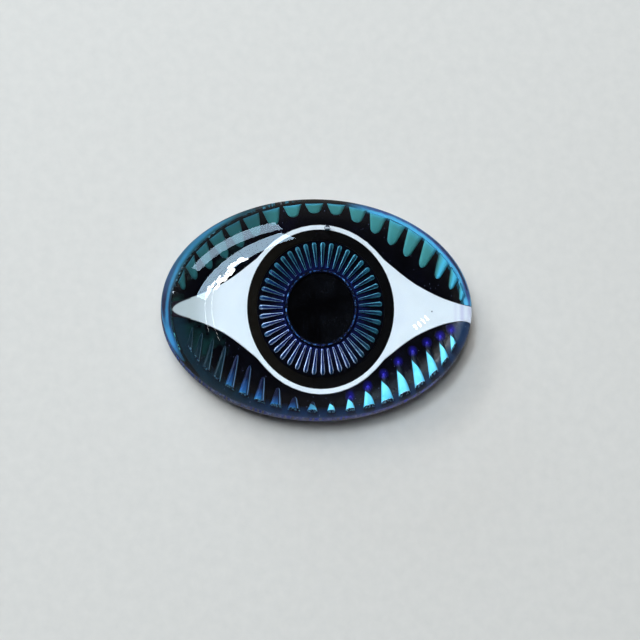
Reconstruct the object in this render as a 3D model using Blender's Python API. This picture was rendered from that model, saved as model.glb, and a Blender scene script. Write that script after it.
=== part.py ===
"""Pressed-glass eye ornament: an oval cabochon with the eye formed on its back.

The clear glass has a flat back with a bevelled edge. Lash grooves and iris
grooves are pressed into that back. Thin coats and enamels fill the grooves and
cover the back, and a dark lacquer seals them. Units here are millimetres and
are turned into metres when a mesh is written. +X runs corner to corner of the
eye, +Y points to the upper lid, +Z goes up through the dome.
"""

import math

import bmesh
import bpy
from mathutils import Vector

MM = 0.001

# Overall sizes.
LENGTH = 25.0
WIDTH = 18.0
DOME_SAG = 5.30
GIRDLE_WALL = 1.30
BEVEL_HEIGHT = 0.55
BEVEL_RUN = 1.90

# Layers below the glass, from the flat bottom upwards.
LACQUER_THICKNESS = 0.30
COAT_THICKNESS = 0.14
LAYER_GAP = 0.03
EDGE_GAP = 0.04

# The flat back and its eye sit a little off the middle of the stone.
EYE_SHIFT_X = 0.28
EYE_SHIFT_Y = 0.10

# The eye on the back, from the lids inwards.
LID_ROOM = 1.40
WHITE_RING_WIDTH = 0.30
IRIS_RING_WIDTH = 0.75
IRIS_EDGE_MARGIN = 0.12
RAY_LENGTH = 1.71
PUPIL_MARGIN = 0.16
PUPIL_RIM_WIDTH = 0.20
PUPIL_RIM_HEIGHT = 0.16
# The white leaves its ring at this angle from +X. Its edge then passes stations on the way to
# the corner: share of the way along X, and share of the half height where it left the ring.
CORNER_ANGLE = 40.0
SCLERA_EDGE = (
    (0.132, 0.812),
    (0.267, 0.640),
    (0.401, 0.490),
    (0.551, 0.360),
    (0.730, 0.235),
    (0.910, 0.150),
    (1.000, 0.125),
)

# Rays of the iris: half widths are shares of the spacing from ray to ray.
RAY_COUNT = 43
RAY_SHARE_INNER = 0.18
RAY_SHARE_OUTER = 0.30
RAY_HEIGHT_INNER = 0.10
RAY_HEIGHT_OUTER = 0.26

# Lashes. Each lid spreads its lashes evenly in ellipse angle from +X. They point straight at
# the line of the eye's corners. Between the corners and the top or bottom of the oval a lash
# gains the extra length and leans in towards the middle.
# The bow moves the middle lashes on by that many degrees, so the spacing is wider at the right.
UPPER_LASH_COUNT = 18
UPPER_FIRST_ANGLE = 13.8
UPPER_LAST_ANGLE = 162.0
UPPER_BOW = 0.0
UPPER_LASH_SHORT = 0.55
UPPER_LASH_EXTRA = 1.10
UPPER_LASH_LEAN = 24.0
UPPER_HALF_SHARE = 0.43
UPPER_TIP_SHARE = 0.16
UPPER_SETBACK = 0.16
LOWER_LASH_COUNT = 19
LOWER_FIRST_ANGLE = 19.7
LOWER_LAST_ANGLE = 157.6
LOWER_BOW = 4.4
LOWER_LASH_SHORT = 0.50
LOWER_LASH_EXTRA = 1.60
LOWER_LASH_LEAN = 14.0
LOWER_HALF_SHARE = 0.38
LOWER_TIP_SHARE = 0.10
LOWER_SETBACK = 0.40
LASH_REACH = 0.86
LASH_HEIGHT_OUTER = 0.20
LASH_HEIGHT_INNER = 0.10
SIDE_DRAFT = 0.05

OVAL_STEPS = 96
DOME_RINGS = 11
CIRCLE_STEPS = 72

HALF_LENGTH = LENGTH / 2
HALF_WIDTH = WIDTH / 2
FLAT_X = HALF_LENGTH - BEVEL_RUN
FLAT_Y = HALF_WIDTH - BEVEL_RUN
SCLERA_RING_RADIUS = FLAT_Y - LID_ROOM
IRIS_RING_RADIUS = SCLERA_RING_RADIUS - WHITE_RING_WIDTH
IRIS_RADIUS = IRIS_RING_RADIUS - IRIS_RING_WIDTH
RAY_OUTER = IRIS_RADIUS - IRIS_EDGE_MARGIN
RAY_INNER = RAY_OUTER - RAY_LENGTH
PUPIL_RIM_RADIUS = RAY_INNER - PUPIL_MARGIN
COAT_BOTTOM = LACQUER_THICKNESS + LAYER_GAP
COAT_TOP = COAT_BOTTOM + COAT_THICKNESS
GLASS_BACK = COAT_TOP + LAYER_GAP
GIRDLE_BOTTOM = GLASS_BACK + BEVEL_HEIGHT
GIRDLE_TOP = GIRDLE_BOTTOM + GIRDLE_WALL


def clear_scene():
    for item in list(bpy.data.objects):
        bpy.data.objects.remove(item, do_unlink=True)


def new_material(name, colour, roughness, metallic, transmission=0.0):
    material = bpy.data.materials.new(name)
    material.use_nodes = True
    shader = material.node_tree.nodes["Principled BSDF"]
    shader.inputs["Base Color"].default_value = (*colour, 1.0)
    shader.inputs["Roughness"].default_value = roughness
    shader.inputs["Metallic"].default_value = metallic
    shader.inputs["Transmission Weight"].default_value = transmission
    return material


def mesh_object(name, loops, caps=True):
    """A closed skin over a stack of loops that all have the same number of points."""
    work = bmesh.new()
    rows = [[work.verts.new(Vector(p) * MM) for p in loop] for loop in loops]
    count = len(rows[0])
    for low, high in zip(rows, rows[1:]):
        for i in range(count):
            j = (i + 1) % count
            work.faces.new((low[i], low[j], high[j], high[i]))
    if caps:
        work.faces.new(list(reversed(rows[0])))
        work.faces.new(rows[-1])
    else:
        for i in range(count):
            j = (i + 1) % count
            work.faces.new((rows[-1][i], rows[-1][j], rows[0][j], rows[0][i]))
    bmesh.ops.recalc_face_normals(work, faces=work.faces)
    mesh = bpy.data.meshes.new(name)
    work.to_mesh(mesh)
    work.free()
    item = bpy.data.objects.new(name, mesh)
    bpy.context.scene.collection.objects.link(item)
    return item


def flat_loop(points, height):
    return [(x, y, height) for x, y in points]


def shifted(points, share=1.0):
    """Points moved by the eye's offset, or by a share of it."""
    return [(x + EYE_SHIFT_X * share, y + EYE_SHIFT_Y * share) for x, y in points]


def shift_to_eye(item):
    """Moves a body drawn round the middle of the eye to the eye's place on the stone."""
    for vert in item.data.vertices:
        vert.co.x += EYE_SHIFT_X * MM
        vert.co.y += EYE_SHIFT_Y * MM
    return item


def ellipse(half_x, half_y, steps=OVAL_STEPS):
    turns = [2 * math.pi * i / steps for i in range(steps)]
    return [(half_x * math.cos(t), half_y * math.sin(t)) for t in turns]


def plate(name, points, bottom, top):
    return mesh_object(name, [flat_loop(points, bottom), flat_loop(points, top)])


def ring(name, inner, outer, bottom, top):
    """A flat round ring."""
    small = ellipse(inner, inner, CIRCLE_STEPS)
    large = ellipse(outer, outer, CIRCLE_STEPS)
    loops = [
        flat_loop(small, bottom),
        flat_loop(large, bottom),
        flat_loop(large, top),
        flat_loop(small, top),
    ]
    return mesh_object(name, loops, caps=False)


def hide_cutter(item):
    item.hide_render = True
    item.display_type = "WIRE"


def boolean(target, tool, operation):
    modifier = target.modifiers.new(tool.name, "BOOLEAN")
    modifier.object = tool
    modifier.operation = operation
    modifier.solver = "EXACT"
    bpy.context.view_layer.objects.active = target
    bpy.ops.object.modifier_apply(modifier=modifier.name)
    bpy.data.objects.remove(tool, do_unlink=True)


def join(name, items):
    """Several separate bodies as one object, used only to cut or to add."""
    work = bmesh.new()
    for item in items:
        work.from_mesh(item.data)
        bpy.data.objects.remove(item, do_unlink=True)
    mesh = bpy.data.meshes.new(name)
    work.to_mesh(mesh)
    work.free()
    joined = bpy.data.objects.new(name, mesh)
    bpy.context.scene.collection.objects.link(joined)
    hide_cutter(joined)
    return joined


def sclera_stations():
    """Points of the edge of the white, from where it leaves the ring to the corner."""
    turn = math.radians(CORNER_ANGLE)
    start_x = SCLERA_RING_RADIUS * math.cos(turn)
    start_y = SCLERA_RING_RADIUS * math.sin(turn)
    way = FLAT_X - start_x
    along = [(start_x + way * share, start_y * height) for share, height in SCLERA_EDGE]
    return [(start_x, start_y)] + along


STATIONS = sclera_stations()


def station_slope(index):
    """Slope of the edge at a station; at the first one it is the ring's own slope."""
    if index == 0:
        return -STATIONS[0][0] / STATIONS[0][1]
    x0, y0 = STATIONS[index - 1]
    x1, y1 = STATIONS[min(index + 1, len(STATIONS) - 1)]
    return (y1 - y0) / (x1 - x0)


def sclera_half_height(x):
    """Half height of the white at distance x from the centre."""
    x = abs(x)
    if x <= STATIONS[0][0]:
        return math.sqrt(SCLERA_RING_RADIUS**2 - x * x)
    index = 0
    while index < len(STATIONS) - 2 and x > STATIONS[index + 1][0]:
        index += 1
    x0, y0 = STATIONS[index]
    x1, y1 = STATIONS[index + 1]
    span = x1 - x0
    t = (x - x0) / span
    start_share = 2 * t**3 - 3 * t**2 + 1
    start_slope = (t**3 - 2 * t**2 + t) * span * station_slope(index)
    end_slope = (t**3 - t**2) * span * station_slope(index + 1)
    return start_share * y0 + start_slope + (1 - start_share) * y1 + end_slope


def sclera_tip(half_x, half_y):
    """X where the edge of the white meets an oval of the given half sizes."""
    low = 0.8 * half_x
    high = half_x
    for _ in range(40):
        middle = (low + high) / 2
        inside = (middle / half_x) ** 2 + (sclera_half_height(middle) / half_y) ** 2 < 1
        if inside:
            low = middle
        else:
            high = middle
    return low


def sclera_upper_edge(tip, steps=48):
    """Points of the upper edge from the right tip to the left tip."""
    turns = [math.pi * i / steps for i in range(steps + 1)]
    return [(tip * math.cos(t), sclera_half_height(tip * math.cos(t))) for t in turns]


def offset_line(points, distance):
    """An open line of points moved sideways, to the right of its direction."""
    moved = []
    last = len(points) - 1
    for i, point in enumerate(points):
        before = Vector(points[max(i - 1, 0)])
        after = Vector(points[min(i + 1, last)])
        along = (after - before).normalized()
        moved.append((point[0] + along.y * distance, point[1] - along.x * distance))
    return moved


def sclera_outline():
    tip = sclera_tip(FLAT_X - EDGE_GAP, FLAT_Y - EDGE_GAP)
    upper = sclera_upper_edge(tip)
    lower = [(x, -y) for x, y in reversed(upper)]
    return upper + lower


def lid_outline(side):
    """The field between the white and the edge of the flat; side is 1 above, -1 below."""
    half_x = FLAT_X - EDGE_GAP
    half_y = FLAT_Y - EDGE_GAP
    tip = sclera_tip(half_x, half_y)
    inner = offset_line(sclera_upper_edge(tip), EDGE_GAP)
    start = math.asin(min(1.0, (inner[0][1] + EDGE_GAP) / half_y))
    steps = OVAL_STEPS // 2
    turns = [start + (math.pi - 2 * start) * i / steps for i in range(steps + 1)]
    outer = [(half_x * math.cos(t), half_y * math.sin(t)) for t in turns]
    inner = [p for p in inner if (p[0] / half_x) ** 2 + (p[1] / half_y) ** 2 < 0.998]
    points = outer + list(reversed(inner))
    return [(x, side * y) for x, y in points]


def tongue(start, inward, length, half_start, half_end, grow, skew):
    """Outline of a tapering tongue with a rounded tip, pointing along inward.

    The foot of the tongue leans by skew, its rise along the tongue for each step across.
    """
    across = Vector((-inward.y, inward.x))
    tip_start = length - half_end
    taper = (half_start - half_end) / tip_start
    side_grow = grow * math.hypot(1.0, taper)
    wide = half_start + side_grow
    narrow = half_end + side_grow
    local = [(-grow - wide * skew, -wide), (tip_start, -narrow)]
    for i in range(1, 4):
        turn = -math.pi / 2 + math.pi * i / 4
        beyond = (half_end + grow) * math.cos(turn)
        local.append((tip_start + beyond, narrow * math.sin(turn)))
    local += [(tip_start, narrow), (-grow + wide * skew, wide)]
    return [(s, start + inward * s + across * w) for s, w in local]


def ridge(name, shape, heights, base, top, grow):
    """One raised tongue: upright foot, drafted sides, and a top that slopes along it."""
    foot = tongue(*shape[:5], grow, shape[5])
    crown = tongue(*shape[:5], grow - SIDE_DRAFT, shape[5])
    length = shape[2]
    high_start, high_end = heights
    loops = [
        [(p.x, p.y, base) for _, p in foot],
        [(p.x, p.y, top) for _, p in foot],
        [
            (p.x, p.y, top + grow + high_start + (high_end - high_start) * s / length)
            for s, p in crown
        ],
    ]
    return mesh_object(name, loops)


UPPER_LID = {
    "count": UPPER_LASH_COUNT,
    "first": UPPER_FIRST_ANGLE,
    "last": UPPER_LAST_ANGLE,
    "bow": UPPER_BOW,
    "short": UPPER_LASH_SHORT,
    "extra": UPPER_LASH_EXTRA,
    "lean": UPPER_LASH_LEAN,
    "half_share": UPPER_HALF_SHARE,
    "tip_share": UPPER_TIP_SHARE,
    "setback": UPPER_SETBACK,
}
LOWER_LID = {
    "count": LOWER_LASH_COUNT,
    "first": LOWER_FIRST_ANGLE,
    "last": LOWER_LAST_ANGLE,
    "bow": LOWER_BOW,
    "short": LOWER_LASH_SHORT,
    "extra": LOWER_LASH_EXTRA,
    "lean": LOWER_LASH_LEAN,
    "half_share": LOWER_HALF_SHARE,
    "tip_share": LOWER_TIP_SHARE,
    "setback": LOWER_SETBACK,
}


def lashes(side, base, top, grow):
    """Every lash of one lid, on a face at height top; side is 1 above, -1 below."""
    lid = UPPER_LID if side > 0 else LOWER_LID
    step = math.radians(lid["last"] - lid["first"]) / (lid["count"] - 1)
    bow = math.radians(lid["bow"])
    half_x = FLAT_X - lid["setback"]
    half_y = FLAT_Y - lid["setback"]
    heights = (LASH_HEIGHT_OUTER, LASH_HEIGHT_INNER)
    items = []
    for number in range(lid["count"]):
        share = math.pi * number / (lid["count"] - 1)
        turn = math.radians(lid["first"]) + step * number + bow * math.sin(share)
        pitch = step + bow * math.cos(share) * math.pi / (lid["count"] - 1)
        start = Vector((half_x * math.cos(turn), side * half_y * math.sin(turn)))
        along_rim = Vector((-half_x * math.sin(turn), side * half_y * math.cos(turn)))
        swell = math.sin(2 * turn) ** 2
        lean = math.radians(lid["lean"]) * math.copysign(swell, start.x)
        inward = Vector((-math.sin(lean), -side * math.cos(lean)))
        across = Vector((-inward.y, inward.x))
        skew = along_rim.dot(inward) / along_rim.dot(across)
        spacing = pitch * abs(along_rim.dot(across))
        length = lid["short"] + lid["extra"] * swell
        length = min(length, LASH_REACH * room_inward(start, inward))
        half = spacing * lid["half_share"]
        tip_half = spacing * lid["tip_share"]
        shape = (start, inward, length, half, tip_half, skew)
        items.append(ridge(f"lash_{number}", shape, heights, base, top, grow))
    return items


def room_inward(start, inward):
    """Distance from a lash's foot to the white, measured along the lash."""
    distance = 0.0
    point = start.copy()
    while distance < HALF_WIDTH and abs(point.y) > sclera_half_height(point.x):
        distance += 0.02
        point = start + inward * distance
    return distance


def rays(base, top, grow):
    """Every ray of the iris, on a face at height top."""
    half_inner = RAY_SHARE_INNER * 2 * math.pi * RAY_INNER / RAY_COUNT
    half_outer = RAY_SHARE_OUTER * 2 * math.pi * RAY_OUTER / RAY_COUNT
    heights = (RAY_HEIGHT_INNER, RAY_HEIGHT_OUTER)
    items = []
    for number in range(RAY_COUNT):
        turn = 2 * math.pi * (number + 0.5) / RAY_COUNT
        outward = Vector((math.cos(turn), math.sin(turn)))
        shape = (outward * RAY_INNER, outward, RAY_LENGTH, half_inner, half_outer, 0.0)
        items.append(ridge(f"ray_{number}", shape, heights, base, top, grow))
    return items


def make_glass():
    loops = [
        flat_loop(shifted(ellipse(FLAT_X, FLAT_Y)), GLASS_BACK),
        flat_loop(ellipse(HALF_LENGTH, HALF_WIDTH), GIRDLE_BOTTOM),
    ]
    for i in range(DOME_RINGS):
        rise = math.pi / 2 * i / DOME_RINGS
        share = math.cos(rise)
        height = GIRDLE_TOP + DOME_SAG * math.sin(rise)
        loops.append(flat_loop(ellipse(HALF_LENGTH * share, HALF_WIDTH * share), height))
    glass = mesh_object("glass_dome", loops)
    add_apex(glass)
    below = GLASS_BACK - 0.2
    cutters = lashes(1, below, GLASS_BACK, LAYER_GAP)
    cutters += lashes(-1, below, GLASS_BACK, LAYER_GAP)
    cutters += rays(below, GLASS_BACK, LAYER_GAP)
    rim_inner = PUPIL_RIM_RADIUS - PUPIL_RIM_WIDTH - EDGE_GAP
    rim_outer = PUPIL_RIM_RADIUS + EDGE_GAP
    rim_top = GLASS_BACK + PUPIL_RIM_HEIGHT
    cutters.append(ring("pupil_groove", rim_inner, rim_outer, below, rim_top))
    boolean(glass, shift_to_eye(join("grooves", cutters)), "DIFFERENCE")
    return glass


def add_apex(item):
    """Replaces the flat top of the dome with a fan that rises to the apex."""
    work = bmesh.new()
    work.from_mesh(item.data)
    top = max(work.faces, key=lambda face: face.calc_center_median().z)
    fan = bmesh.ops.poke(work, faces=[top])
    for vert in fan["verts"]:
        vert.co.z = (GIRDLE_TOP + DOME_SAG) * MM
    work.to_mesh(item.data)
    work.free()


def make_lid(name, side):
    lid = plate(name, lid_outline(side), COAT_BOTTOM, COAT_TOP)
    foot = COAT_BOTTOM + COAT_THICKNESS / 2
    boolean(lid, join("lashes", lashes(side, foot, COAT_TOP, 0.0)), "UNION")
    return shift_to_eye(lid)


def make_sclera():
    white = plate("sclera_enamel", sclera_outline(), COAT_BOTTOM, COAT_TOP)
    hole = IRIS_RING_RADIUS
    cutter = plate("iris_hole", ellipse(hole, hole, CIRCLE_STEPS), 0.0, GLASS_BACK)
    hide_cutter(cutter)
    boolean(white, cutter, "DIFFERENCE")
    return shift_to_eye(white)


def make_iris_coat():
    inner = PUPIL_RIM_RADIUS + EDGE_GAP
    outer = IRIS_RADIUS
    coat = ring("iris_ray_coat", inner, outer, COAT_BOTTOM, COAT_TOP)
    foot = COAT_BOTTOM + COAT_THICKNESS / 2
    boolean(coat, join("rays", rays(foot, COAT_TOP, 0.0)), "UNION")
    return shift_to_eye(coat)


def make_rim_coat():
    """The coated band under the bevel: an oval cone of even thickness."""
    slope = math.hypot(BEVEL_RUN, BEVEL_HEIGHT)
    out = BEVEL_HEIGHT / slope
    down = BEVEL_RUN / slope
    loops = []
    for share, depth in ((0.03, 1), (0.94, 1), (0.94, 0), (0.03, 0)):
        offset = LAYER_GAP + depth * COAT_THICKNESS * 0.8
        half_x = FLAT_X + BEVEL_RUN * share + out * offset
        half_y = FLAT_Y + BEVEL_RUN * share + out * offset
        height = GLASS_BACK + BEVEL_HEIGHT * share - down * offset
        loops.append(flat_loop(shifted(ellipse(half_x, half_y), 1 - share), height))
    return mesh_object("rim_coat", loops, caps=False)


def make_lacquer():
    """The dark backing: a thin oval plate with a softened lower edge."""
    loops = [
        flat_loop(ellipse(FLAT_X - 0.25, FLAT_Y - 0.25), 0.0),
        flat_loop(ellipse(FLAT_X - 0.08, FLAT_Y - 0.08), 0.12),
        flat_loop(ellipse(FLAT_X, FLAT_Y), LACQUER_THICKNESS),
    ]
    return shift_to_eye(mesh_object("backing_lacquer", loops))


def finish(item, material, angle=35.0):
    item.data.materials.clear()
    item.data.materials.append(material)
    for polygon in item.data.polygons:
        polygon.use_smooth = True
        polygon.material_index = 0
    item.data.set_sharp_from_angle(angle=math.radians(angle))


def main():
    clear_scene()
    glass = new_material("clear_glass", (0.93, 0.97, 0.98), 0.03, 0.0, 1.0)
    teal = new_material("teal_mirror", (0.10, 0.46, 0.50), 0.12, 1.0)
    sky = new_material("sky_mirror", (0.14, 0.50, 0.72), 0.12, 1.0)
    blue = new_material("blue_mirror", (0.09, 0.28, 0.62), 0.12, 1.0)
    violet = new_material("violet_mirror", (0.16, 0.16, 0.48), 0.15, 1.0)
    white = new_material("white_enamel", (0.82, 0.85, 0.88), 0.30, 0.0)
    black = new_material("black_enamel", (0.012, 0.012, 0.016), 0.15, 0.0)
    ink = new_material("pupil_black", (0.006, 0.007, 0.012), 0.10, 0.0)
    lacquer = new_material("dark_lacquer", (0.03, 0.03, 0.035), 0.35, 0.0)

    pupil_radius = PUPIL_RIM_RADIUS - PUPIL_RIM_WIDTH
    rim_top = COAT_TOP + PUPIL_RIM_HEIGHT
    iris_inner = IRIS_RADIUS + EDGE_GAP
    iris_outer = IRIS_RING_RADIUS - EDGE_GAP
    pupil_oval = ellipse(pupil_radius - EDGE_GAP, pupil_radius - EDGE_GAP, CIRCLE_STEPS)
    iris_ring = ring("iris_ring_enamel", iris_inner, iris_outer, COAT_BOTTOM, COAT_TOP)
    pupil_rim = ring("pupil_rim_coat", pupil_radius, PUPIL_RIM_RADIUS, COAT_BOTTOM, rim_top)
    pupil = plate("pupil_enamel", pupil_oval, COAT_BOTTOM, COAT_TOP)

    finish(make_glass(), glass)
    finish(make_lid("upper_lid_coat", 1), teal)
    finish(make_lid("lower_lid_coat", -1), sky)
    finish(make_sclera(), white)
    finish(shift_to_eye(iris_ring), black)
    finish(make_iris_coat(), blue)
    finish(shift_to_eye(pupil_rim), teal)
    finish(shift_to_eye(pupil), ink)
    finish(make_rim_coat(), violet)
    finish(make_lacquer(), lacquer)


main()
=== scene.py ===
# %% [markdown]
# # A pressed-glass eye ornament
#
# This notebook dresses a small oval glass cabochon. The real one is a thick
# clear dome with a flat back. An eye is pressed into that back as shallow
# grooves, and thin mirror coats and enamels are laid over them, so the whole
# picture is seen through the glass, enlarged by the dome.

# %% Load the frame
import math
import random

import bmesh
import bpy
from mathutils import Matrix, Vector


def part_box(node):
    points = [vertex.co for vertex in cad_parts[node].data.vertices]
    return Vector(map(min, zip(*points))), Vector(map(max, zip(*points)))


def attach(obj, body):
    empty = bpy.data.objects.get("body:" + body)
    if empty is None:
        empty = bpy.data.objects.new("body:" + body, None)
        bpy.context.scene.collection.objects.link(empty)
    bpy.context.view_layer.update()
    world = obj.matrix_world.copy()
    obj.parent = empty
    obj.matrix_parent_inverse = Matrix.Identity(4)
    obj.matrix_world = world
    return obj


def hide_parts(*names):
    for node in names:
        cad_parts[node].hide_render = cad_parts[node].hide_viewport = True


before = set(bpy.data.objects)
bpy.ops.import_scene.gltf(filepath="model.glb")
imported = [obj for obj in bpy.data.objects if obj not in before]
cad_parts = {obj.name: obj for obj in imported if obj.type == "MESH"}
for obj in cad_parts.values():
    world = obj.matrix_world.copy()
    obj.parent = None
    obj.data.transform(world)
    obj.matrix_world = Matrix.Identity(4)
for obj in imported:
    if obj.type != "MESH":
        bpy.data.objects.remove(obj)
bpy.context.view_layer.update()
print("nodes:", sorted(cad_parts))

# %% [markdown]
# ## Sizes
#
# Every size comes from the loaded solids, so the looks stay on the model. The
# layers are only a fraction of a millimetre thick, so lengths are kept in
# metres and written as multiples of one millimetre.

# %% Sizes from the solids
MM = 0.001


def spans(node):
    """Half length, half width, bottom and top of a solid."""
    low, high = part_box(node)
    return (high[0] - low[0]) / 2, (high[1] - low[1]) / 2, low[2], high[2]


half_length, half_width, cad_back, apex = spans("glass_dome")
flat_x, flat_y, _, _ = spans("backing_lacquer")
flat_low, flat_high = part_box("backing_lacquer")
eye_middle = Vector(((flat_low[0] + flat_high[0]) / 2, (flat_low[1] + flat_high[1]) / 2))
coat_top = spans("sclera_enamel")[3]
coat_bottom = spans("sclera_enamel")[2]
iris_edge = spans("iris_ray_coat")[0]
pupil_rim = spans("pupil_rim_coat")[0]
BEVEL_HEIGHT = 0.55 * MM
GIRDLE_WALL = 1.30 * MM
bevel_top = cad_back + BEVEL_HEIGHT
girdle_top = bevel_top + GIRDLE_WALL
for label, value in (
    ("coat top", coat_top),
    ("iris edge", iris_edge),
    ("pupil rim", pupil_rim),
    ("flat half length", flat_x),
):
    print(f"{label}: {value * 1000:.2f} mm")

# %% [markdown]
# ## Shader arithmetic
#
# A pattern is easier to read as an expression than as a web of nodes. `Value`
# wraps one socket and turns `+ - * /` into Math nodes. `Finish` is one
# material: its `node` method adds any node, with settings first and sockets
# after.


# %% Socket arithmetic
class Value:
    """One output socket that can be used in sums."""

    def __init__(self, finish, socket):
        self.finish = finish
        self.socket = socket

    def math(self, operation, *others):
        sockets = {i + 1: other for i, other in enumerate(others)}
        return self.finish.node("Math", {"operation": operation}, {0: self, **sockets})

    def __add__(self, other):
        return self.math("ADD", other)

    __radd__ = __add__

    def __mul__(self, other):
        return self.math("MULTIPLY", other)

    __rmul__ = __mul__

    def __sub__(self, other):
        return self.math("SUBTRACT", other)

    def __rsub__(self, other):
        return -self + other

    def __neg__(self):
        return self * -1.0

    def __truediv__(self, other):
        return self.math("DIVIDE", other)

    def __abs__(self):
        return self.math("ABSOLUTE")

    def step(self, low, high):
        """0 below low, 1 above high, smooth between."""
        settings = {"interpolation_type": "SMOOTHSTEP"}
        sockets = {"Value": self, "From Min": low, "From Max": high}
        return self.finish.node("MapRange", settings, sockets)

    def band(self, low, high, soft):
        """1 between low and high, 0 outside, with soft edges."""
        return self.step(low - soft, low + soft) * (1 - self.step(high - soft, high + soft))


class Finish:
    """One material and its node tree."""

    def __init__(self, name):
        self.material = bpy.data.materials.new(name)
        self.material.use_nodes = True
        self.tree = self.material.node_tree
        self.shader = self.tree.nodes["Principled BSDF"]
        self.end = self.tree.nodes["Material Output"]

    def node(self, kind, settings=None, sockets=None, out=0):
        """Adds a node: settings such as a ramp's stops first, then its sockets."""
        made = self.tree.nodes.new("ShaderNode" + kind)
        for key, value in (settings or {}).items():
            if key == "stops":
                self.fill_ramp(made.color_ramp, value)
            else:
                setattr(made, key, value)
        for key, value in (sockets or {}).items():
            self.plug(made.inputs[key], value)
        return Value(self, made.outputs[out])

    def fill_ramp(self, ramp, stops):
        while len(ramp.elements) < len(stops):
            ramp.elements.new(0.5)
        for element, (place, colour) in zip(ramp.elements, stops):
            element.position = place
            element.color = (*colour, 1.0)

    def plug(self, socket, value):
        if isinstance(value, Value):
            self.tree.links.new(value.socket, socket)
        elif isinstance(value, tuple) and len(value) == 3 and socket.type == "RGBA":
            socket.default_value = (*value, 1.0)
        else:
            socket.default_value = value

    def set(self, **values):
        """Sets or links Principled sockets; Base_Color means Base Color."""
        for key, value in values.items():
            self.plug(self.shader.inputs[key.replace("_", " ")], value)
        return self

    def mix(self, share, first, second):
        """Colour between first and second."""
        sockets = {0: share, 6: first, 7: second}
        return self.node("Mix", {"data_type": "RGBA"}, sockets, out=2)

    def place(self):
        """Object coordinates in metres, with x and y counted from the middle of the eye."""
        spot = self.node("TexCoord", out="Object")
        centre = (eye_middle.x, eye_middle.y, 0.0)
        spot = self.node("VectorMath", {"operation": "SUBTRACT"}, {0: spot, 1: centre})
        outs = self.node("SeparateXYZ", None, {0: spot}).socket.node.outputs
        return spot, Value(self, outs[0]), Value(self, outs[1]), Value(self, outs[2])

    def noise(self, spot, size, detail=3.0, rough=0.55, kind="TexNoise"):
        """Fine noise whose grains are about size metres across."""
        sockets = {"Vector": spot, "Scale": 1.0 / size, "Detail": detail, "Roughness": rough}
        return self.node(kind, None, sockets)

    def bump(self, height, strength, depth):
        sockets = {"Height": height, "Strength": strength, "Distance": depth}
        return self.set(Normal=self.node("Bump", None, sockets))

    def uv(self):
        """The piece's own UV map: along and across, both 0 to 1."""
        spot = self.node("UVMap", {"uv_map": "along_across"})
        outs = self.node("SeparateXYZ", None, {0: spot}).socket.node.outputs
        return Value(self, outs[0]), Value(self, outs[1])


def tint(code):
    """A web colour such as 3F8A8C as linear red, green, blue."""
    values = []
    for start in (0, 2, 4):
        share = int(code[start : start + 2], 16) / 255
        values.append(share / 12.92 if share <= 0.04045 else ((share + 0.055) / 1.055) ** 2.4)
    return tuple(values)


# %% [markdown]
# ## Making pieces
#
# Each new piece is one bmesh that becomes an object at the origin and rides on
# the only body. Solids that stay only change their finish.


# %% Piece helpers
def piece(name, work, finish, sharp=30.0):
    mesh = bpy.data.meshes.new(name)
    work.to_mesh(mesh)
    work.free()
    mesh.materials.append(finish.material)
    for polygon in mesh.polygons:
        polygon.use_smooth = True
    mesh.set_sharp_from_angle(angle=math.radians(sharp))
    made = bpy.data.objects.new(name, mesh)
    bpy.context.scene.collection.objects.link(made)
    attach(made, "root")
    print(f"{name}: {len(mesh.polygons)} faces")
    return made


def dress(node, finish):
    """Gives a solid that stays its finish."""
    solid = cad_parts[node]
    for index in range(len(solid.material_slots)):
        solid.material_slots[index].material = finish.material
    print(f"{node} wears {finish.material.name}")
    return solid


def edges_at(work, height, slack=1e-6):
    return [e for e in work.edges if all(abs(v.co.z - height) < slack for v in e.verts)]


# %% [markdown]
# ## The glass dome
#
# The real stone is pressed from hot clear glass and then fire polished, so it
# has no flats at all. A half sphere stretched to the oval gives the dome. Its
# open edge is pulled down for the short upright girdle and then drawn in for
# the bevel on the back. The back stops a hair below the faces of the coats.
# They then lie inside the glass, as bonded layers do, with no air between.

# %% Dome shape
ROUNDING = 0.12 * MM
CONTACT = 0.06 * MM
bevel_run = half_length - flat_x
DOME_SEGMENTS = 384
work = bmesh.new()
bmesh.ops.create_uvsphere(
    work, u_segments=DOME_SEGMENTS, v_segments=DOME_SEGMENTS // 2, radius=1.0
)
everything = work.verts[:] + work.edges[:] + work.faces[:]
bmesh.ops.bisect_plane(
    work, geom=everything, plane_co=(0, 0, 0), plane_no=(0, 0, 1), clear_inner=True
)
dome_stretch = Vector((half_length, half_width, apex - girdle_top))
bmesh.ops.scale(work, vec=dome_stretch, verts=work.verts)
bmesh.ops.translate(work, vec=Vector((0, 0, girdle_top)), verts=work.verts)


def next_ring(work, height, inset, new_height, new_inset):
    """Extrudes the open edge at height and inset to the next height and inset."""
    pulled = bmesh.ops.extrude_edge_only(work, edges=edges_at(work, height))
    verts = [g for g in pulled["geom"] if isinstance(g, bmesh.types.BMVert)]
    bmesh.ops.translate(work, vec=Vector((0, 0, new_height - height)), verts=verts)
    share_x = (half_length - new_inset) / (half_length - inset)
    share_y = (half_width - new_inset) / (half_width - inset)
    bmesh.ops.scale(work, vec=Vector((share_x, share_y, 1)), verts=verts)
    return verts


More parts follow.
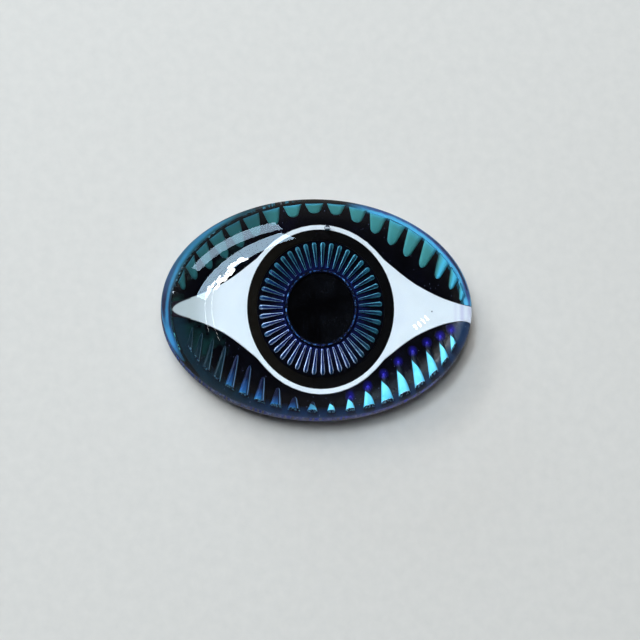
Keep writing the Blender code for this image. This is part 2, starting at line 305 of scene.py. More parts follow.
glass_back = coat_top - CONTACT / 2
bevel_low = bevel_top - CONTACT
slope = math.atan2(bevel_run, bevel_low - glass_back)
rings = [(girdle_top, 0.0), (bevel_low + ROUNDING, 0.0)]
for share in (1 / 3, 2 / 3, 1):
    inset = ROUNDING * (1 - math.cos(slope * share))
    rings.append((bevel_low + ROUNDING * (1 - math.sin(slope * share)), inset))
rings.append((glass_back, bevel_run))
for (height, inset), (new_height, new_inset) in zip(rings, rings[1:]):
    verts = next_ring(work, height, inset, new_height, new_inset)
bmesh.ops.translate(work, vec=eye_middle.to_3d(), verts=verts)
bmesh.ops.contextual_create(work, geom=edges_at(work, glass_back))
bmesh.ops.recalc_face_normals(work, faces=work.faces)

# %% [markdown]
# ## Clear glass
#
# Pressed glass is colourless here and bends light as common crown glass does.
# A breath of uneven polish varies its roughness. Lamps are let through in the
# shadow rays, so that the enamel under the dome is lit without grain.

# %% Clear glass finish
clear_glass = Finish("clear_glass_polished")
spot, x, y, z = clear_glass.place()
polish = clear_glass.noise(spot, 3.0 * MM, detail=2.0)
clear_glass.set(
    Base_Color=(1.0, 1.0, 1.0),
    Roughness=polish * 0.012,
    IOR=1.52,
    Transmission_Weight=1.0,
)
shadow = clear_glass.node("LightPath", out="Is Shadow Ray")
clear = clear_glass.node("BsdfTransparent", None, {"Color": (0.80, 0.82, 0.84)})
body = Value(clear_glass, clear_glass.shader.outputs[0])
blend = clear_glass.node("MixShader", None, {0: shadow, 1: body, 2: clear})
clear_glass.plug(clear_glass.end.inputs["Surface"], blend)
dome = piece("glass_dome_clear", work, clear_glass, sharp=25.0)
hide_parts("glass_dome")

# %% [markdown]
# ## A trapped bubble
#
# Pressed glass often keeps a small bubble. This one sits just above the white
# ring at the top, flattened by the press. Its index is that of air in glass.

# %% Bubble
BUBBLE_RADIUS = 0.20 * MM
air = Finish("trapped_air")
spot, x, y, z = air.place()
dust = air.noise(spot, 0.1 * MM, detail=1.0)
air.set(Base_Color=(0.9, 0.92, 0.94), Roughness=dust * 0.02, IOR=1 / 1.52)
air.set(Transmission_Weight=1.0)
work = bmesh.new()
bmesh.ops.create_uvsphere(work, u_segments=32, v_segments=16, radius=BUBBLE_RADIUS)
bmesh.ops.scale(work, vec=Vector((1.15, 0.9, 0.7)), verts=work.verts)
bubble_spot = eye_middle.to_3d() + Vector((0.50 * MM, 5.50 * MM, coat_top + 0.24 * MM))
bmesh.ops.translate(work, vec=bubble_spot, verts=work.verts)
piece("trapped_bubble", work, air)

# %% [markdown]
# ## The dark field of the lids
#
# Between the lashes the coat lies flat and mirrors the dark side of the room,
# so it reads as black; that dark reflection is painted into its colour. The
# field keeps the outline of its solid. A copy is cut level just under its top
# face, which takes the plain ridges off, and the cut is closed again.

# %% [markdown]
# The lashes of a lid stand in a row along the edge of the flat. They point
# straight at the line through the corners of the eye, and lean in to the middle
# where they are long. The bow spaces the lower ones wider at the right.

# %% Lash layout
FIELD_DROP = 0.005 * MM
field_top = coat_top - FIELD_DROP
UPPER_LID = {
    "side": 1,
    "count": 18,
    "first": math.radians(13.8),
    "last": math.radians(162.0),
    "bow": 0.0,
    "short": 0.55 * MM,
    "extra": 1.10 * MM,
    "lean": math.radians(24.0),
    "setback": 0.10 * MM,
    "right_setback": 0.12 * MM,
    "root_share": 0.41,
    "tip_share": 0.19,
}
LOWER_LID = {
    "side": -1,
    "count": 19,
    "first": math.radians(19.7),
    "last": math.radians(157.6),
    "bow": math.radians(4.4),
    "short": 0.50 * MM,
    "extra": 1.60 * MM,
    "lean": math.radians(14.0),
    "setback": 0.40 * MM,
    "right_setback": 0.0,
    "root_share": 0.34,
    "tip_share": 0.11,
}


def lash_step(lid):
    return (lid["last"] - lid["first"]) / (lid["count"] - 1)


def lash_frames(lid):
    """Foot, direction, length, spacing and foot slant of every lash of one lid."""
    half_x = flat_x - lid["setback"]
    half_y = flat_y - lid["setback"]
    side = lid["side"]
    frames = []
    for number in range(lid["count"]):
        share = math.pi * number / (lid["count"] - 1)
        turn = lid["first"] + lash_step(lid) * number + lid["bow"] * math.sin(share)
        pitch = lash_step(lid) + lid["bow"] * math.cos(share) * math.pi / (lid["count"] - 1)
        start = Vector((half_x * math.cos(turn), side * half_y * math.sin(turn)))
        along_rim = Vector((-half_x * math.sin(turn), side * half_y * math.cos(turn)))
        swell = math.sin(2 * turn) ** 2
        lean = lid["lean"] * math.copysign(swell, start.x)
        inward = Vector((-math.sin(lean), -side * math.cos(lean)))
        across = Vector((-inward.y, inward.x))
        slant = along_rim.dot(inward) / along_rim.dot(across)
        spacing = pitch * abs(along_rim.dot(across))
        rightness = min(1.0, max(0.0, (start.x - 1.5 * MM) / (3.0 * MM)))
        start += inward * lid["right_setback"] * rightness
        length = lid["short"] + lid["extra"] * swell
        frames.append((start, inward, length, spacing, slant))
    return frames


# %% Field shapes
def level_field(node):
    work = bmesh.new()
    work.from_mesh(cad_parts[node].data)
    bmesh.ops.remove_doubles(work, verts=work.verts, dist=1e-7)
    everything = work.verts[:] + work.edges[:] + work.faces[:]
    cut = bmesh.ops.bisect_plane(
        work,
        geom=everything,
        plane_co=(0, 0, field_top),
        plane_no=(0, 0, 1),
        clear_outer=True,
        dist=1e-8,
    )
    rim = [g for g in cut["geom_cut"] if isinstance(g, bmesh.types.BMEdge)]
    bmesh.ops.contextual_create(work, geom=rim)
    bmesh.ops.recalc_face_normals(work, faces=work.faces)
    return work


# %% [markdown]
# The film turns violet in the hollow at each lower lash tip at the right. One
# soft round spot per lash, broken up by noise, gives the same run of spots.

# %% Violet spots
VIOLET_REACH = 0.40 * MM
VIOLET_FROM_X = 1.8 * MM


def violet_spots(finish, spot):
    """A soft spot, 0 to 1, at the tip of every lower lash on the right."""
    total = 0.0
    for start, inward, length, _, _ in lash_frames(LOWER_LID):
        tip = start + inward * length * 0.97
        if tip.x < VIOLET_FROM_X:
            continue
        flat_spot = finish.node(
            "VectorMath", {"operation": "MULTIPLY"}, {0: spot, 1: (1.0, 1.0, 0.0)}
        )
        gap = finish.node(
            "VectorMath",
            {"operation": "DISTANCE"},
            {0: flat_spot, 1: (tip.x, tip.y, 0.0)},
            out=1,
        )
        total = (1 - gap / VIOLET_REACH).math("MAXIMUM", 0.0).math("POWER", 1.4) + total
    return total * (finish.noise(spot, 0.5 * MM, detail=2.0).step(0.25, 0.65) * 0.6 + 0.3)


# %% [markdown]
# The field itself is nearly black, with cloudy stains at the left and a few
# pale specks. Its outer margin is left free by the lashes: above at the right
# it carries a bright cyan painted reflection of the window, and below it is navy.

# %% Field finish
def field_finish(name, lower):
    finish = Finish(name)
    spot, x, y, z = finish.place()
    cloud = finish.noise(spot, 2.2 * MM, detail=4.0)
    grains = {"Vector": spot, "Scale": 1 / (0.34 * MM), "Randomness": 1.0}
    speck = 1 - finish.node("TexVoronoi", None, grains).step(0.04, 0.10)
    # The near-black ground is a painted dark reflection of the room.
    shade = finish.node(
        "ValToRGB",
        {"stops": [(0.30, tint("030306")), (0.55, tint("05050A")), (0.80, tint("090716"))]},
        {0: cloud},
    )
    stain = cloud.step(0.48, 0.62) * (-x).step(5.0 * MM, 8.5 * MM)
    shade = finish.mix(stain * 0.8, shade, tint("12302F") if lower else tint("1C3A36"))
    reach_x = x / flat_x
    reach_y = y / flat_y
    reach = (reach_x * reach_x + reach_y * reach_y).math("SQRT")
    if lower:
        margin = finish.mix((-x).step(2.0 * MM, 7.0 * MM), tint("0E2A4A"), tint("0E2430"))
        shade = finish.mix(reach.step(0.90, 0.97) * 0.85, shade, margin)
        shade = finish.mix(violet_spots(finish, spot), shade, tint("241CA4"))
    else:
        # Painted reflection: the bright cyan band above at the right is window light.
        right_side = x.step(1.5 * MM, 4.5 * MM)
        shade = finish.mix(right_side * reach.step(0.955, 0.970), shade, tint("174E60"))
        window_reflection_band = reach + (cloud - 0.5) * 0.02
        shade = finish.mix(right_side * window_reflection_band.step(0.972, 0.978), shade, tint("56B2DA"))
        shade = finish.mix(right_side * window_reflection_band.step(0.988, 0.994), shade, tint("3C5690"))
    shade = finish.mix(speck * 0.5, shade, tint("7C86A8"))
    finish.set(
        Base_Color=shade,
        Roughness=cloud * 0.10 + 0.12,
        Specular_IOR_Level=0.1,
    )
    return finish


upper_dark = field_finish("dark_mirror_field_upper", False)
lower_dark = field_finish("dark_mirror_field_lower", True)
piece("upper_lid_field", level_field("upper_lid_coat"), upper_dark)
piece("lower_lid_field", level_field("lower_lid_coat"), lower_dark)

# %% [markdown]
# ## Lashes
#
# Each lash is a groove pressed into the back and coated, so from above it is a
# bright tongue standing up into the glass. It is widest and tallest at the rim
# and falls towards its tip. One flat grid is bent into each tongue: `along`
# runs from the rim to the tip and `across` from left to right. Both are kept as
# a UV map, so that the coat's colours can follow the lash.


# %% Tongue shape
def tongue(work, start, inward, length, halves, heights, slant=0.0, flip=False, tip=0.22):
    """Adds one raised tongue. halves and heights are its values at the rim and at the tip."""
    across = Vector((-inward.y, inward.x))
    layers = work.loops.layers.uv
    uv_layer = layers.get("along_across") or layers.new("along_across")
    made = bmesh.ops.create_grid(work, x_segments=14, y_segments=10, size=0.5)
    top = list({face for vert in made["verts"] for face in vert.link_faces})
    skirt = bmesh.ops.extrude_face_region(work, geom=top)
    lifted = {g for g in skirt["geom"] if isinstance(g, bmesh.types.BMVert)}
    verts = set(made["verts"]) | lifted
    spots = {vert: (vert.co.x + 0.5, vert.co.y * 2.0) for vert in verts}
    for face in {face for vert in verts for face in vert.link_faces}:
        for loop in face.loops:
            u, v = spots[loop.vert]
            loop[uv_layer].uv = (u, 0.5 - v / 2 if flip else 0.5 + v / 2)
    for vert, (u, v) in spots.items():
        v = math.sin(v * math.pi / 2)
        u = 0.5 - 0.5 * math.cos(u * math.pi)
        half = halves[0] + (halves[1] - halves[0]) * u
        if u > 1 - tip:
            half *= math.sqrt(max(0.0, 1 - ((u - 1 + tip) / tip) ** 2)) * 0.96 + 0.04
        s = u * length + v * half * slant * (1 - u)
        height = coat_bottom
        if vert in lifted:
            rise = heights[0] + (heights[1] - heights[0]) * u
            rise *= 1 - 0.75 * abs(v) ** 5
            rise *= 1 - 0.8 * max(0.0, (u - 0.8) / 0.2) ** 3
            height = field_top + rise
        spot = eye_middle + start + inward * s + across * (v * half)
        vert.co = (spot.x, spot.y, height)


LASH_HEIGHTS = (0.20 * MM, 0.10 * MM)


def lash_row(lid):
    """All lashes of one lid in one mesh."""
    work = bmesh.new()
    for start, inward, length, spacing, slant in lash_frames(lid):
        flip = lid["side"] < 0
        if flip:
            spacing *= 0.58 + 0.42 * min(1.0, abs(start.x - 1.2 * MM) / (3.2 * MM))
        halves = (spacing * lid["root_share"], spacing * lid["tip_share"])
        tongue(work, start, inward, length, halves, LASH_HEIGHTS, slant, flip)
    bmesh.ops.recalc_face_normals(work, faces=work.faces)
    return work


# %% [markdown]
# The upper lashes wear a teal coat that is a little bluer at the foot and the
# tip, with a thin painted highlight along its sides. They carry painted shade
# at the left. At the far right one side of the coat has a painted highlight and
# the other painted shade.

# %% Upper lash finish
upper_coat = Finish("teal_mirror_coat")
spot, x, y, z = upper_coat.place()
along, across = upper_coat.uv()
film = upper_coat.noise(spot, 1.4 * MM, detail=2.0)
ramp = upper_coat.node(
    "ValToRGB",
    {
        "stops": [
            (0.0, tint("4FB4CC")),
            (0.16, tint("469EA8")),
            (0.30, tint("43908F")),
            (0.62, tint("3F8A8A")),
            (0.86, tint("3D868A")),
            (1.0, tint("62C8DC")),
        ]
    },
    {0: along + (film - 0.5) * 0.25},
)
# Painted highlight along the sides; at the far right a painted highlight on one side and
# painted shade on the other; painted shade at the left.
side_highlight = abs(across - 0.5).step(0.42, 0.49)
ramp = upper_coat.mix(side_highlight * 0.5, ramp, tint("6FC4D0"))
far_right_light_and_shade = x.step(7.9 * MM, 8.6 * MM)
ramp = upper_coat.mix(far_right_light_and_shade * across.step(0.30, 0.60), ramp, tint("52C4E4"))
ramp = upper_coat.mix(far_right_light_and_shade * (1 - across.step(0.15, 0.35)) * 0.8, ramp, tint("0E2A30"))
shadow_side = (-x).step(2.0 * MM, 5.0 * MM)
ramp = upper_coat.mix(shadow_side * 0.72, ramp, tint("143C42"))
upper_coat.set(
    Base_Color=ramp,
    Metallic=0.15,
    Roughness=film * 0.14 + 0.25,
    Specular_IOR_Level=0.15,
)
upper_lashes = piece("upper_lash_row", lash_row(UPPER_LID), upper_coat)
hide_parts("upper_lid_coat")

# %% [markdown]
# The lower lashes change from left to right. At the right each one carries a
# bright sail, a painted reflection straight on one side and curved on the other,
# over a painted dark reflection, with painted glints at its foot and on its end
# wall. At the left the lashes lie in painted shade: only a blue facet at the foot
# and one fine painted highlight along the side show.

# %% Lower lash finish
lower_coat = Finish("sky_mirror_coat")
spot, x, y, z = lower_coat.place()
along, across = lower_coat.uv()
film = lower_coat.noise(spot, 1.1 * MM, detail=2.0)
# Painted reflection: the bright sail and the dark coat around it.
sail_reflection_tint = lower_coat.mix(film.step(0.35, 0.65), tint("58C4EA"), tint("74D6F0"))
sail_reflection_edge = 0.96 - (along / 0.68).math("POWER", 3.2)
sail_reflection = (sail_reflection_edge - across).step(-0.02, 0.04)
dark = lower_coat.mix(film, tint("04040A"), tint("0C1420"))
right = lower_coat.mix(sail_reflection, dark, sail_reflection_tint)
# Painted glints at the foot and on the dark end wall.
glint_noise = lower_coat.noise(spot, 0.16 * MM, detail=2.0)
foot_glint = along.band(0.004, 0.045, 0.004) * glint_noise.step(0.42, 0.56)
right = lower_coat.mix(foot_glint * 0.9, right, tint("F2FBFF"))
wall = 1 - along.step(0.0005, 0.003)
wall_shade_and_glints = lower_coat.mix(glint_noise.step(0.46, 0.58), tint("0A2A44"), tint("A8E4FA"))
right = lower_coat.mix(violet_spots(lower_coat, spot) * (1 - sail_reflection), right, tint("3E30D8"))
# Painted shade at the left and darker still at the far left, with a painted highlight thread
# along the side.
facet = lower_coat.node(
    "ValToRGB",
    {"stops": [(0.0, tint("2A78A8")), (0.22, tint("1A4A80")), (0.50, tint("080F2C"))]},
    {0: along + (film - 0.5) * 0.3},
)
facet = lower_coat.mix(across.step(0.50, 0.66), facet, tint("060C14"))
side_highlight_thread = across.band(0.67, 0.74, 0.03) * (1 - along.step(0.80, 0.98))
left = lower_coat.mix(side_highlight_thread * 0.60, facet, tint("86B4E8"))
far_left_shade = lower_coat.mix(side_highlight_thread * 0.55, tint("0A2028"), tint("7FA8C0"))
left = lower_coat.mix((-x).step(6.2 * MM, 7.4 * MM), left, far_left_shade)
shade = lower_coat.mix(x.step(-1.2 * MM, 0.4 * MM), left, right)
shade = lower_coat.mix(wall, shade, wall_shade_and_glints)
lower_coat.set(
    Base_Color=shade,
    Metallic=0.15,
    Roughness=film * 0.14 + 0.22,
    Specular_IOR_Level=0.15,
)
lower_lashes = piece("lower_lash_row", lash_row(LOWER_LID), lower_coat)
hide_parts("lower_lid_coat")

# %% [markdown]
# ## The iris
#
# Forty-three fine grooves run out from the pupil to the edge of the iris. They
# are narrow by the pupil and end in small round spoons. The ground between them
# is navy, cut from the solid in the same way as the lid fields.

# %% Iris ground
ground = Finish("navy_ground")
spot, x, y, z = ground.place()
reach = (x * x + y * y).math("SQRT")
cloud = ground.noise(spot, 0.8 * MM, detail=3.0)
shade = ground.node(
    "ValToRGB",
    {"stops": [(0.0, tint("0C1238")), (0.5, tint("060818")), (1.0, tint("040409"))]},
    {0: (reach - pupil_rim) / (iris_edge - pupil_rim) + (cloud - 0.5) * 0.3},
)
ground.set(Base_Color=shade, Roughness=cloud * 0.05 + 0.15, Specular_IOR_Level=0.1)
piece("iris_ground", level_field("iris_ray_coat"), ground)

# %% [markdown]
# Each ray is the same raised tongue as a lash, but turned outwards. Its coat is
# blue by the pupil and teal at the spoon. Two thin painted highlights run along
# its sides. Every ray has its own brightness, and the highlights are palest at
# the lower left, where the bodies carry painted shade and painted blue glints
# sit at the inner ends.

# %% Iris rays
RAY_COUNT = 43
RAY_HEIGHTS = (0.11 * MM, 0.25 * MM)
RAY_MARGIN = 0.12 * MM
ray_outer = iris_edge - RAY_MARGIN
ray_length = 1.71 * MM
ray_inner = ray_outer - ray_length
work = bmesh.new()
for number in range(RAY_COUNT):
    turn = 2 * math.pi * (number + 0.5) / RAY_COUNT
    outward = Vector((math.cos(turn), math.sin(turn)))
    halves = (
        0.17 * 2 * math.pi * ray_inner / RAY_COUNT,
        0.30 * 2 * math.pi * ray_outer / RAY_COUNT,
    )
    tongue(work, outward * ray_inner, outward, ray_length, halves, RAY_HEIGHTS, tip=0.12)
bmesh.ops.recalc_face_normals(work, faces=work.faces)

ray_coat = Finish("blue_mirror_coat")
spot, x, y, z = ray_coat.place()
along, across = ray_coat.uv()
film = ray_coat.noise(spot, 0.9 * MM, detail=2.0)
body = ray_coat.node(
    "ValToRGB",
    {
        "stops": [
            (0.0, tint("2A48C8")),
            (0.18, tint("0C1648")),
            (0.50, tint("0A1E3C")),
            (0.80, tint("1C5468")),
            (1.0, tint("429AB4")),
        ]
    },
    {0: along + (film - 0.5) * 0.3},
)
off_middle = abs(across - 0.5)
turn = y.math("ARCTAN2", x) * (RAY_COUNT / (2 * math.pi))
own = ray_coat.node("TexWhiteNoise", {"noise_dimensions": "1D"}, {"W": turn.math("FLOOR")})
streak = ray_coat.noise(spot, 0.35 * MM, detail=2.0)
# Painted highlights along the two sides of each ray, palest at the lower left.
ray_side_highlight = off_middle.band(0.19, 0.34, 0.03) * (1 - along.step(0.88, 0.99))
lower_left_light_and_shade = (-x - y).step(-1.5 * MM, 2.5 * MM)
ray_side_highlight = ray_side_highlight * (own * 0.45 + 0.5 + lower_left_light_and_shade * 0.4) * (streak.step(0.30, 0.55) * 0.5 + 0.5)
highlight_tint = ray_coat.mix((x * 0.6 + y).step(-3.5 * MM, 1.0 * MM), tint("CFE0FF"), tint("66BCD4"))
green = (-x).step(0.5 * MM, 3.0 * MM) * y.step(-0.5 * MM, 1.5 * MM)
highlight_tint = ray_coat.mix(green * 0.7, highlight_tint, tint("2A6A70"))
# Painted shade on the ray bodies, deepest at the lower left, then painted blue glints at the
# inner ends.
shade = ray_coat.mix(own * 0.40 + 0.30, body, tint("050A1C"))
shade = ray_coat.mix(lower_left_light_and_shade * 0.55, shade, tint("0A1456"))
shade = ray_coat.mix(ray_side_highlight, shade, highlight_tint)
inner_end_glint = (1 - along.step(0.05, 0.18)) * lower_left_light_and_shade * (own * 0.5 + 0.5)
shade = ray_coat.mix(inner_end_glint, shade, tint("9AB6FF"))
ray_coat.set(
    Base_Color=shade,
    Metallic=0.15,
    Roughness=film * 0.12 + 0.20,
    Specular_IOR_Level=0.15,
)
iris_rays = piece("iris_ray_row", work, ray_coat)
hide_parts("iris_ray_coat")

# %% [markdown]
# ## Enamels, rim and backing
#
# The white almond, the black ring and the pupil are flat enamels whose solids
# already have the right outline, so those stay and only get their finish. The
# white is brushed on a little unevenly, carries painted shade that greys it
# towards the left corner and darkens that corner's tip into a point, and shows
# faint lilac stripes in the right one.

# %% White enamel
white = Finish("white_enamel_brushed")
spot, x, y, z = white.place()
cloud = white.noise(spot, 3.5 * MM, detail=4.0)
grain = white.noise(spot, 0.12 * MM, detail=2.0)
shade = white.node(
    "ValToRGB",
    {"stops": [(0.30, tint("D2D8DA")), (0.55, tint("DADFE1")), (0.75, tint("D3D8DE"))]},
    {0: cloud},
)
corner = (x / flat_x).step(0.88, 1.0)
stripes = (x * (2 * math.pi / (0.42 * MM))).math("SINE")
shade = white.mix(corner * (stripes * 0.30 + 0.45), shade, tint("A9A2C4"))


def mark(finish, spot, place, inner, outer, soft=0.03 * MM):
    """A small ring or, with a negative inner size, a dot at a place on the back."""
    flat_spot = finish.node(
        "VectorMath", {"operation": "MULTIPLY"}, {0: spot, 1: (1.0, 1.0, 0.0)}
    )
    centre = (place[0] * MM, place[1] * MM, 0.0)
    gap = finish.node(
        "VectorMath", {"operation": "DISTANCE"}, {0: flat_spot, 1: centre}, out=1
    )
    return gap.band(inner * MM, outer * MM, soft)


# Painted shade: greyer towards the left corner, and its tip darkened into a point.
tip_room = ((x + 10.55 * MM) / MM).math("MAXIMUM", 0.0).math("SQRT") * (0.62 * MM)
tip_shade = (abs(y) - tip_room).step(-0.05 * MM, 0.05 * MM) * (-x).step(9.3 * MM, 9.5 * MM)
shade = white.mix((-x).step(7.0 * MM, 9.5 * MM) * 0.8, shade, tint("A4AEAC"))
shade = white.mix(tip_shade, shade, tint("17121C"))
shade = white.mix(mark(white, spot, (8.15, -0.05), -1.0, 0.05), shade, tint("30343A"))
white.set(Base_Color=shade, Roughness=grain * 0.15 + 0.30, Specular_IOR_Level=0.1)
dress("sclera_enamel", white)

# %% [markdown]
# The ring round the iris and the pupil are black gloss enamels. The ring
# carries a painted brown reflection at the left. A beaded blue coat line parts
# the pupil from the rays.

# %% Black enamels
ring_black = Finish("iris_ring_black")
spot, x, y, z = ring_black.place()
cloud = ring_black.noise(spot, 2.0 * MM, detail=4.0)
# Painted reflection: a brownish cast on the left of the ring.
brown_reflection = (-x).step(-1.0 * MM, 4.5 * MM)
shade = ring_black.mix(cloud, tint("050506"), tint("0A090A"))
shade = ring_black.mix(brown_reflection * 0.6, shade, tint("17140F"))
ring_black.set(Base_Color=shade, Roughness=cloud * 0.08 + 0.15, Specular_IOR_Level=0.1)
dress("iris_ring_enamel", ring_black)

pupil_black = Finish("pupil_black_gloss")
spot, x, y, z = pupil_black.place()
cloud = pupil_black.noise(spot, 1.6 * MM, detail=3.0)
shade = pupil_black.mix(cloud.step(0.4, 0.7), tint("020203"), tint("08090C"))
pupil_black.set(Base_Color=shade, Roughness=cloud * 0.06 + 0.10, Specular_IOR_Level=0.1)
dress("pupil_enamel", pupil_black)

rim_line = Finish("pupil_rim_coat_blue")
spot, x, y, z = rim_line.place()
cloud = rim_line.noise(spot, 0.5 * MM, detail=3.0)
shade = rim_line.node(
    "ValToRGB",
    {"stops": [(0.40, tint("141E50")), (0.56, tint("2C5C98")), (0.70, tint("6FA8F0"))]},
    {0: cloud},
)
reach = (x * x + y * y).math("SQRT")
middle = reach.band(pupil_rim - 0.13 * MM, pupil_rim - 0.05 * MM, 0.02 * MM)
beads = rim_line.noise(spot, 0.22 * MM, detail=1.0).step(0.42, 0.60)
shade = rim_line.mix(middle * beads, tint("060A1C"), shade)
rim_line.set(Base_Color=shade, Metallic=0.15, Roughness=0.25)
dress("pupil_rim_coat", rim_line)

# %% [markdown]
# The coat under the bevel is one film whose colour drifts all the way round:
# bright cyan above, where the film's colour carries a painted reflection of the
# window, a deep violet at the corners and navy below. It is darker next to the
# flat and purple farther up the bevel. At the left a bright seam lies between
# the two. At the top the dark gaps between the lashes run out over it as a
# painted grey reflection.

# %% Rim coat
rim_coat = Finish("rim_mirror_coat")
spot, x, y, z = rim_coat.place()
_, rim_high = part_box("rim_coat")
film = rim_coat.noise(spot, 2.5 * MM, detail=3.0)
way = (z - coat_top) / (rim_high[2] - coat_top)
turn = (y / flat_y).math("ARCTAN2", x / flat_x)
round_share = (turn / (2 * math.pi)).math("FRACT") + (film - 0.5) * 0.03
INNER_TINTS = (
    (0.00, "20363E"),
    (0.05, "3A90B4"),
    (0.10, "45B0CF"),
    (0.22, "4AB4CC"),
    (0.32, "3A96A8"),
    (0.45, "2F7C98"),
    (0.485, "1E1A34"),
    (0.52, "2A2A58"),
    (0.545, "3F96D8"),
    (0.60, "1C4C62"),
    (0.70, "18344C"),
    (0.85, "1C3C54"),
    (1.00, "20363E"),
)
OUTER_TINTS = (
    (0.00, "28343E"),
    (0.05, "3A78A8"),
    (0.11, "4A6CAC"),
    (0.18, "5A5CA0"),
    (0.26, "6E5C98"),
    (0.36, "4C5C9C"),
    (0.46, "3C4484"),
    (0.50, "221C40"),
    (0.56, "3458A8"),
    (0.62, "242C56"),
    (0.72, "262C62"),
    (0.85, "30307C"),
    (0.93, "20304A"),
    (1.00, "28343E"),
)


def tint_ramp(finish, place, tints):
    stops = [(position, tint(code)) for position, code in tints]
    return finish.node("ValToRGB", {"stops": stops}, {0: place})


# The bright cyan at the top of these tints is partly a painted reflection of the window.
inner = tint_ramp(rim_coat, round_share, INNER_TINTS)
outer = tint_ramp(rim_coat, round_share, OUTER_TINTS)
drift = way + (film - 0.5) * 0.06
shade = rim_coat.mix(drift.step(0.14, 0.24), inner, outer)
left_side = (-x).step(1.0 * MM, 4.0 * MM)
shade = rim_coat.mix(left_side * (1 - drift.step(0.05, 0.10)) * 0.75, shade, tint("123038"))
seam = left_side * drift.band(0.10, 0.16, 0.02) * (film.step(0.35, 0.60) * 0.5 + 0.5)
shade = rim_coat.mix(seam * 0.9, shade, tint("46A6DC"))
# Painted reflection: grey in the lash gaps at the top of the bevel.
number = (turn - UPPER_LID["first"]) / lash_step(UPPER_LID)
gap = 1 - abs(number.math("FRACT") - 0.5).step(0.10, 0.20)
top_only = y.step(0.0, 1.0 * MM) * (1 - abs(x + 0.6 * MM).step(3.6 * MM, 5.2 * MM))
shade = rim_coat.mix(gap * top_only * (1 - way.step(0.45, 0.80)), shade, tint("2E2C2C"))
rim_coat.set(Base_Color=shade, Metallic=0.15, Roughness=film * 0.12 + 0.25)
dress("rim_coat", rim_coat)

# %% [markdown]
# The flat is sealed with a dark lacquer, slightly orange-peeled where it dried.

# %% Backing lacquer
backing = Finish("dark_backing_lacquer")
spot, x, y, z = backing.place()
cloud = backing.noise(spot, 2.0 * MM, detail=5.0)
grain = backing.noise(spot, 0.25 * MM, detail=3.0)
shade = backing.mix(cloud, tint("1C1C1F"), tint("2B2A2D"))
backing.set(Base_Color=shade, Roughness=grain * 0.25 + 0.35)
backing.bump(grain, 0.25, 0.03 * MM)
dress("backing_lacquer", backing)

# %% [markdown]
# ## Floor, light and camera
#
# The stone lies on a plain pale floor. A pale window stands behind it to the
# left, in two panes, with a broken glare at the top of the upper one. The room
# is dim, and darker still overhead, because the dome mirrors what is above it.
# The floor and a wide soft lamp stay out of the mirrors, so that the rim of the
# glass keeps the colours of its coat.

# %% Floor
floor_work = bmesh.new()
bmesh.ops.create_grid(floor_work, x_segments=1, y_segments=1, size=1.5)
floor_mesh = bpy.data.meshes.new("floor")
floor_work.to_mesh(floor_mesh)
floor_work.free()
floor_finish = Finish("pale_floor")
spot, x, y, z = floor_finish.place()
grain = floor_finish.noise(spot, 0.9 * MM, detail=4.0)
shade = floor_finish.mix(grain, tint("CAC7C2"), tint("D6D2CC"))
floor_finish.set(Base_Color=shade, Roughness=0.8)
floor_mesh.materials.append(floor_finish.material)
floor = bpy.data.objects.new("floor", floor_mesh)
bpy.context.scene.collection.objects.link(floor)
floor.visible_glossy = False


# %% [markdown]
# Every lamp is a rectangle that faces the stone. Its place is given as the
# direction in which it is seen from there, and its size as an angle, because
# that is how it shows in a mirror-bright dome. Four short lamps at the right are
# the gaps of a blind.

# %% Lights
def toward(azimuth, elevation, distance):
    """A point seen from the stone. Azimuth 0 is the near side, -90 is the left."""
    a = math.radians(azimuth)
    e = math.radians(elevation)
    flat = math.cos(e)
    return Vector((math.sin(a) * flat, -math.cos(a) * flat, math.sin(e))) * distance


def lamp(name, azimuth, elevation, size, radiance, colour, roll=0.0, mirrored=True):
    """A rectangle of light that faces the stone; size is its width and height in degrees."""
    distance = 0.8
    width, height = (2 * distance * math.tan(math.radians(a) / 2) for a in size)
    data = bpy.data.lights.new(name, "AREA")
    data.shape = "RECTANGLE"
    data.size = width
    data.size_y = height
    data.energy = radiance * math.pi * width * height
    data.color = colour
    made = bpy.data.objects.new(name, data)
    spot = toward(azimuth, elevation, distance)
    turn = (-spot).to_track_quat("-Z", "Y").to_matrix()
    turn = turn @ Matrix.Rotation(math.radians(roll), 3, "Z")
    made.matrix_world = Matrix.Translation(spot) @ turn.to_4x4()
    made.visible_glossy = mirrored
    made.visible_transmission = mirrored
    bpy.context.scene.collection.objects.link(made)
    print(f"{name}: {azimuth:.0f} degrees round, {elevation:.0f} up")


SKY = (0.55, 0.78, 1.0)
NEUTRAL = (1.0, 0.99, 0.97)
WARM = (1.0, 0.96, 0.90)
GLARES = 14
DASHES = 4
lamp("window_low", -150, 19, (40, 13), 7.5, SKY)
lamp("window_high", -141, 40, (54, 10), 11.0, SKY, roll=8)
lamp("frame_edge", -96, 43, (36, 0.8), 5.0, NEUTRAL)
lamp("frame_edge_high", -94, 48, (48, 0.6), 5.0, NEUTRAL)
lamp("ceiling", -150, 55, (44, 44), 3.5, WARM, mirrored=False)
chance = random.Random(11)
for number in range(GLARES):
    share = number / (GLARES - 1)
    azimuth = -113 - 34 * share + chance.uniform(-2, 2)
    elevation = 42.5 + 3.2 * math.sin(math.pi * share) + chance.uniform(-1.8, 1.8)
    size = (chance.uniform(3, 8), chance.uniform(0.7, 2.4))
    lamp(f"glare_{number}", azimuth, elevation, size, 26.0, NEUTRAL, chance.uniform(-25, 25))
for number in range(DASHES):
    azimuth = 80 + 3.4 * number
    elevation = 46.5 - 1.8 * number
    lamp(f"blind_{number}", azimuth, elevation, (1.5, 4.8), 13.0, NEUTRAL, roll=-42)

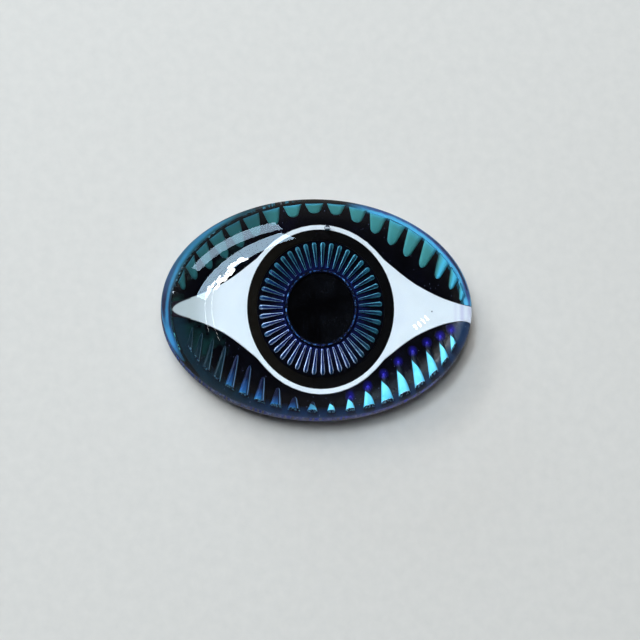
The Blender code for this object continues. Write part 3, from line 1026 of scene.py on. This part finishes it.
world = bpy.data.worlds.new("room")
bpy.context.scene.world = world
world.use_nodes = True
tree = world.node_tree
spot = tree.nodes.new("ShaderNodeTexCoord")
parts = tree.nodes.new("ShaderNodeSeparateXYZ")
ramp = tree.nodes.new("ShaderNodeValToRGB")
tree.links.new(spot.outputs["Generated"], parts.inputs[0])
tree.links.new(parts.outputs["Z"], ramp.inputs[0])
ROOM_LEVELS = ((0.0, 0.10), (0.10, 0.10), (0.24, 0.05), (0.60, 0.012), (1.0, 0.008))
while len(ramp.color_ramp.elements) < len(ROOM_LEVELS):
    ramp.color_ramp.elements.new(0.5)
for element, (place, level) in zip(ramp.color_ramp.elements, ROOM_LEVELS):
    element.position = place
    element.color = (level, level * 0.99, level * 0.97, 1.0)
tree.links.new(ramp.outputs[0], tree.nodes["Background"].inputs["Color"])

# %% [markdown]
# The camera looks down at the stone from a little in front and a little to the
# left, with a long lens. It is set by two turns and a slight roll.

# %% Camera
LENS = 146.25
SENSOR = 36.0
DISTANCE = 208.8 * MM
LEFT_TURN = math.radians(4.0)
NEAR_TURN = math.radians(14.0)
ROLL = math.radians(-0.2)
AIM_RIGHT = 0.25 * MM
AIM_BELOW = 0.93 * MM
camera_data = bpy.data.cameras.new("camera")
camera_data.sensor_width = SENSOR
camera_data.lens = LENS
camera_data.clip_start = 0.01
camera_data.clip_end = 10.0
camera = bpy.data.objects.new("camera", camera_data)
back = Vector((-math.tan(LEFT_TURN), -math.tan(NEAR_TURN), 1.0)).normalized()
up = (Vector((0, 1, 0)) - back * back.y).normalized()
right = up.cross(back)
image_right = right * math.cos(ROLL) + up * math.sin(ROLL)
image_up = up * math.cos(ROLL) - right * math.sin(ROLL)
spot = Vector((0, 0, girdle_top)) + back * DISTANCE
spot += image_right * AIM_RIGHT - image_up * AIM_BELOW
turn = Matrix((image_right, image_up, back)).transposed()
camera.matrix_world = Matrix.Translation(spot) @ turn.to_4x4()
bpy.context.scene.collection.objects.link(camera)
bpy.context.scene.camera = camera
bpy.context.scene.view_settings.view_transform = "Standard"
print("camera at", [round(v, 4) for v in spot])
